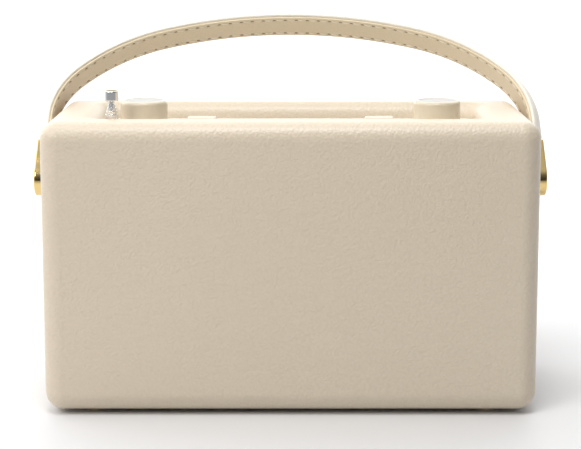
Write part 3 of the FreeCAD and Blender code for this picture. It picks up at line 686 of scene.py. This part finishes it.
strap_leather = leather(
    "strap_leather", (0.93, 0.885, 0.80), (0.90, 0.85, 0.76), FINE_GRAIN, 0.00004, 0.32, 0.5
)
liner_leather = leather("liner_leather", (0.80, 0.69, 0.52), (0.755, 0.645, 0.475), FINE_GRAIN, 0.00005, 0.5)
# edge paint, glossier and a little lighter than the lining: a real finish whose lighter colour is a painted
# highlight along the lit edge
edge_paint_and_highlight = leather("liner_edge_paint_and_highlight", (0.84, 0.72, 0.52), (0.79, 0.67, 0.47), CUT_GRAIN, 0.00002, 0.3)
# painted shade: the faces inside the stitch holes are coloured dark brown
hole_painted_shade = leather("stitch_hole_painted_shade", (0.40, 0.31, 0.21), (0.34, 0.26, 0.17), CUT_GRAIN, 0.00002, 0.7)
strap.data.materials.append(strap_leather.material)
for recipe in (liner_leather, edge_paint_and_highlight, hole_painted_shade):
    liner.data.materials.append(recipe.material)
print("the lining has", len(liner.data.materials), "finishes")

# %% Thread
thread_finish = Recipe("thread", 0.6)
twist = stretched(thread_finish, (1.0, 1.0, 1.0), (0.0, math.radians(35.0), 0.0))
thread_finish.feed("Base Color", wear(thread_finish, (0.90, 0.83, 0.69), 0.06, 0.002))
thread_finish.bump(noise(thread_finish, 0.0005, 1.0, twist), 0.0001, 0.6)
thread.data.materials.append(thread_finish.material)
print("thread finish on", len(thread.data.polygons), "faces")

# %% [markdown]
# The lining has three finishes on one mesh: its leather, the edge paint with a painted highlight, and
# the painted shade in the stitch holes, so each face is told which one it wears. Its faces were
# made ring by ring, and within a ring from one edge of the band to the other. So a face's number,
# divided by the number of points in a ring, tells both how far along the strap and how far across it
# the face lies.

# %% Which face of the lining wears which finish
# the lining's other finishes: edge paint with a painted highlight, and the painted shade in the stitch holes
EDGE_PAINT_AND_HIGHLIGHT, HOLE_PAINTED_SHADE = 1, 2
EDGE_PAINT_AND_HIGHLIGHT_WIDTH = 0.35                 # width of the strip along each edge with edge paint and a painted highlight
PAINTED_SHADE_FROM = 0.45                    # how deep into a pit the painted shade begins, from 0 to 1

section = liner_section(0.0)
stations = bow_line(LINER_STEP)
for polygon in liner.data.polygons:
    ring, place = divmod(polygon.index, len(section))
    if ring >= len(stations) - 1:
        continue
    y = section[place][0]
    if place >= LINER_STEPS or abs(y) > LINER_HALF - EDGE_PAINT_AND_HIGHLIGHT_WIDTH:
        polygon.material_index = EDGE_PAINT_AND_HIGHLIGHT
    # painted shade in the deepest part of each stitch pit
    elif furrow_at(y) * hole_at(stations[ring][0]) > PAINTED_SHADE_FROM:
        polygon.material_index = HOLE_PAINTED_SHADE
print("holes:", sum(polygon.material_index == HOLE_PAINTED_SHADE for polygon in liner.data.polygons), "dark faces")

# %% [markdown]
# ## Polished and plated metal
#
# Brass and chrome are mirrors with a colour, so most of their look comes from the room. What is left
# is the faint haze of handling: the roughness drifts between almost clear and slightly dull, and a
# very shallow bump breaks up long straight reflections. Drawn tubes and brushed plates get a noise
# that is stretched along the way they were worked.

# %% Metal
ALONG_X = (0.1, 1.0, 1.0)
ALONG_Y = (1.0, 0.1, 1.0)
ALONG_Z = (1.0, 1.0, 0.1)


def metal(name, base, roughness, spread=0.03, worked=None):
    """A metal with a haze of handling, and fine lines if it was worked along one way."""
    recipe = Recipe(name, roughness, 1.0)
    recipe.feed("Base Color", wear(recipe, base, spread, 0.01))
    shine = [(0.3, grey(roughness * 0.7)), (0.75, grey(roughness * 1.5))]
    recipe.feed("Roughness", ramp(recipe, noise(recipe, 0.004, 3.0), shine))
    if worked:
        recipe.bump(noise(recipe, 0.0006, 2.0, stretched(recipe, worked)), 0.00002, 0.5)
    else:
        recipe.bump(noise(recipe, 0.006, 1.0), 0.00004, 0.4)
    return recipe


print("lines of worked metal are", round(1.0 / ALONG_Z[2]), "times longer than wide")

# %% Brass
dress(
    ["handle_fitting_left", "handle_fitting_right", "handle_rivets", "pivot_plates", "pivot_screws"],
    metal("polished_brass", (0.83, 0.62, 0.27), 0.12),
)
dress(["grille_trim"], metal("satin_brass", (0.78, 0.60, 0.30), 0.25, 0.04, ALONG_X))

# %% Chrome and steel
dress(
    ["antenna_socket", "antenna_tube_1", "antenna_tube_2", "antenna_tube_3", "antenna_tube_4"]
    + ["antenna_rod", "antenna_cap"],
    metal("chrome_tube", (0.80, 0.80, 0.81), 0.07, 0.02, ALONG_Z),
)
dress(
    ["pivot_pins", "volume_shaft", "tuning_shaft", "control_nuts", "volume_control", "tuning_control"]
    + ["cabinet_screws", "speaker_screws", "rear_board_screws"]
    + ["battery_contacts", "inlet_pin", "headphone_socket"],
    metal("plated_steel", (0.56, 0.56, 0.57), 0.3, 0.05, ALONG_Y),
)
dress(
    ["speaker_magnet_left", "speaker_magnet_right"],
    metal("magnet_iron", (0.12, 0.12, 0.125), 0.45, 0.1),
)

# %% [markdown]
# ## Moulded plastic and painted parts
#
# Cream plastic is never quite even: it has a very fine spark-eroded texture from the mould, and it
# shines more where fingers have polished it. The same recipe with other colours serves the rubber
# feet, the black mouldings and the painted panel, since paint and plastic differ mostly in their
# shine. Only the clear lens over the display is smoother than all of them.

# %% Plastic and paint
def moulded(name, base, roughness, texture=0.0006, depth=0.00002):
    """Plastic, rubber or paint with a fine even texture and a shine that drifts a little."""
    recipe = Recipe(name, roughness)
    recipe.feed("Base Color", wear(recipe, base, 0.035, 0.012))
    shine = [(0.3, grey(roughness * 0.85)), (0.7, grey(roughness * 1.2))]
    recipe.feed("Roughness", ramp(recipe, noise(recipe, 0.005, 3.0), shine))
    recipe.bump(noise(recipe, texture), depth, 0.6)
    return recipe


dress(["volume_knob", "tuning_knob"], moulded("knob_plastic", (0.70, 0.61, 0.47), 0.19))
dress(["volume_knob_cap", "tuning_knob_cap"], moulded("knob_cap", (0.56, 0.56, 0.565), 0.6))
dress(["key_left", "key_right"], moulded("key_plastic", (0.66, 0.59, 0.47), 0.42))
dress(["feet"], moulded("foot_rubber", (0.62, 0.54, 0.42), 0.6))
dress(["top_panel"], moulded("panel_paint", (0.82, 0.77, 0.68), 0.35))
dress(["speaker_grille"], moulded("grille_paint", (0.60, 0.50, 0.33), 0.32))

# %% Display and dark mouldings
dress(["display_lens"], moulded("display_lens", (0.42, 0.44, 0.41), 0.08, 0.01, 0.000005))
dress(["display_module"], moulded("display_module", (0.02, 0.02, 0.022), 0.3))
dress(
    ["battery_case", "battery_door", "antenna_post", "socket_plate", "power_inlet", "rear_board_posts"],
    moulded("black_moulding", (0.022, 0.021, 0.020), 0.45),
)
dress(["key_switches", "board_components"], moulded("component_case", (0.03, 0.03, 0.032), 0.4))
dress(["control_board", "rear_board"], moulded("circuit_board", (0.02, 0.12, 0.05), 0.3))
dress(["speaker_frame_left", "speaker_frame_right"], moulded("basket_paint", (0.03, 0.03, 0.032), 0.35))

# %% [markdown]
# ## Cloth and paper
#
# Most of these parts are hidden, but a part that can be taken out has to look right when it is. The
# grille cloth is a plain weave, and the cones are paper that was pressed on a mesh, which leaves the
# same pattern. Two wave textures at right angles, one for each set of threads, make both.

# %% Cloth and paper
WAVE_SCALE = 0.31                   # over the pitch, so that one band lies in each pitch


def woven(name, base, pitch):
    """A plain weave with its threads along X and along Z."""
    recipe = Recipe(name, 0.85)
    inputs = {"Vector": recipe.place, "Scale": WAVE_SCALE / pitch, "Distortion": 0.4}
    warp = recipe.node("ShaderNodeTexWave", inputs, bands_direction="X").outputs["Fac"]
    weft = recipe.node("ShaderNodeTexWave", inputs, bands_direction="Z").outputs["Fac"]
    weave = mix(recipe, 0.5, warp, weft)
    low = tuple(channel * 0.5 for channel in base)
    recipe.feed("Base Color", ramp(recipe, weave, [(0.2, low), (0.8, base)]))
    recipe.bump(weave, 0.0002, 0.7)
    return recipe


dress(["grille_cloth"], woven("grille_cloth", (0.05, 0.042, 0.035), 0.0008))
dress(["speaker_cone_left", "speaker_cone_right"], woven("cone_paper", (0.035, 0.035, 0.036), 0.0012))

# %% [markdown]
# ## Wood
#
# The cabinet under the leather is birch ply, and the board that carries the loudspeakers is stained
# black so that it does not show through the cloth. Wood is a noise stretched along the grain, dark
# in the hollows between its fibres and light on top of them.

# %% Wood
WOOD_GRAIN = (0.08, 1.0, 1.0)       # stretched along the cabinet's length


def wood(name, base):
    """Wood with its grain along the cabinet."""
    recipe = Recipe(name, 0.6)
    fibres = noise(recipe, 0.003, 5.0, stretched(recipe, WOOD_GRAIN))
    dark = tuple(channel * 0.6 for channel in base)
    recipe.feed("Base Color", ramp(recipe, fibres, [(0.3, dark), (0.7, base)]))
    recipe.bump(fibres, 0.0002, 0.5)
    return recipe


dress(["cabinet_shell"], wood("birch_ply", (0.46, 0.30, 0.16)))
dress(["front_baffle"], wood("stained_board", (0.03, 0.025, 0.02)))

# %% [markdown]
# ## The table's finish
#
# A white table is lit unevenly by two lamps, so its far end would turn grey and a line would show
# where it meets the background. Real studios light the backdrop separately. Here the table glows a
# little from the radio backwards, which does the same. Towards the camera its colour is darkened, a
# painted shade that the brass mirrors as its dark band. Both changes are smooth steps along Y.

# %% Table finish
GLOW_FROM, GLOW_TO = 0.0, 0.6
GLOW_MOST = 0.5
# painted shade on the table: full at the first depth towards the camera, gone at the second
PAINTED_SHADE_FULL_BY, PAINTED_SHADE_GONE_BY = -0.75, -0.14

table_finish = Recipe("studio_floor", 0.6)
table_finish.bump(noise(table_finish, 0.002), 0.00002, 0.3)
table_finish.shader.inputs["Emission Color"].default_value = (1.0, 1.0, 1.0, 1.0)
depth = table_finish.node("ShaderNodeSeparateXYZ", {"Vector": table_finish.place}).outputs["Y"]


def smooth_step(start, end, most):
    """From 0 to most as the depth goes from start to end."""
    inputs = {"Value": depth, "From Min": start, "From Max": end, "To Max": most}
    made = table_finish.node("ShaderNodeMapRange", inputs, interpolation_type="SMOOTHSTEP")
    return made.outputs["Result"]


table_finish.feed("Emission Strength", smooth_step(GLOW_FROM, GLOW_TO, GLOW_MOST))
# painted shade: the table's colour darkens towards the camera
pale = smooth_step(PAINTED_SHADE_FULL_BY, PAINTED_SHADE_GONE_BY, 1.0)
table_painted_shade_colours = [(0.0, grey(0.42)), (1.0, (0.72, 0.72, 0.73))]
table_finish.feed("Base Color", ramp(table_finish, pale, table_painted_shade_colours))
floor.data.materials.append(table_finish.material)
print("the table is pale from", PAINTED_SHADE_GONE_BY, "m and glows from", GLOW_FROM, "m")
